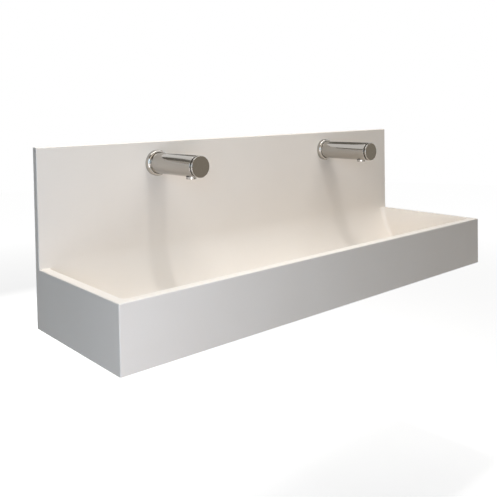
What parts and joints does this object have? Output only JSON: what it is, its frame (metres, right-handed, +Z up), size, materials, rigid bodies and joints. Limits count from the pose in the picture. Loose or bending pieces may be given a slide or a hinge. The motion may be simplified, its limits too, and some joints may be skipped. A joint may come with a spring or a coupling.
{
  "type": "wall-hung wash trough",
  "caption": "Long rectangular wall-hung wash trough with a coved bowl, square apron and tall upstand carrying round push-button taps.",
  "frame": {"origin": "middle of the wall bolt pattern of the two brackets, on the wall plane and in the middle of the length", "axes": "+X along the trough to the right seen from the front, +Y into the wall, +Z up; the front faces -Y"},
  "size_m": [1.2, 0.392, 0.4385],
  "materials": {
    "solid_surface": "satin",
    "chrome": "polished",
    "brass": "satin",
    "strainer_steel": "satin",
    "steel_fixing": "satin",
    "spring_steel": "satin",
    "bracket_paint": "satin",
    "seal_rubber": "matte",
    "valve_plastic": "matte"
  },
  "bodies": {
    "trough": {"upstand": "solid_surface", "bowl_cove": "solid_surface", "bowl_floor": "solid_surface", "front_apron": "solid_surface", "end_panel_left": "solid_surface", "end_panel_right": "solid_surface", "bracket_left": "bracket_paint", "bracket_right": "bracket_paint", "floor_inserts": "brass", "bracket_screws": "steel_fixing", "waste_body": "chrome", "waste_grid": "strainer_steel", "waste_grid_screw": "steel_fixing", "waste_flange_seal": "seal_rubber", "waste_under_washer": "seal_rubber", "waste_back_nut": "brass", "tap_body_left": "chrome", "tap_rose_left": "chrome", "tap_grub_screw_left": "steel_fixing", "tap_wall_seal_left": "seal_rubber", "tap_button_spring_left": "spring_steel", "tap_gland_left": "brass", "tap_cartridge_left": "valve_plastic", "tap_cartridge_seal_left": "seal_rubber", "tap_nozzle_left": "chrome", "tap_flow_insert_left": "valve_plastic", "tap_nozzle_gasket_left": "seal_rubber", "tap_tail_left": "brass", "tap_back_washer_left": "seal_rubber", "tap_back_plate_left": "steel_fixing", "tap_back_nut_left": "brass", "tap_body_right": "chrome", "tap_rose_right": "chrome", "tap_grub_screw_right": "steel_fixing", "tap_wall_seal_right": "seal_rubber", "tap_button_spring_right": "spring_steel", "tap_gland_right": "brass", "tap_cartridge_right": "valve_plastic", "tap_cartridge_seal_right": "seal_rubber", "tap_nozzle_right": "chrome", "tap_flow_insert_right": "valve_plastic", "tap_nozzle_gasket_right": "seal_rubber", "tap_tail_right": "brass", "tap_back_washer_right": "seal_rubber", "tap_back_plate_right": "steel_fixing", "tap_back_nut_right": "brass"},
    "button_left": {"tap_button_left": "chrome", "tap_button_stem_left": "brass"},
    "button_right": {"tap_button_right": "chrome", "tap_button_stem_right": "brass"}
  },
  "joints": [
    {"name": "push_button_left", "type": "slide", "parent": "trough", "child": "button_left", "axis": [0, 1, 0], "range_m": [0, 0.004], "stiffness_N_per_m": 1500, "springref_m": -0.004, "deforming": ["tap_button_spring_left"]},
    {"name": "push_button_right", "type": "slide", "parent": "trough", "child": "button_right", "axis": [0, 1, 0], "range_m": [0, 0.004], "stiffness_N_per_m": 1500, "springref_m": -0.004, "deforming": ["tap_button_spring_right"]}
  ]
}
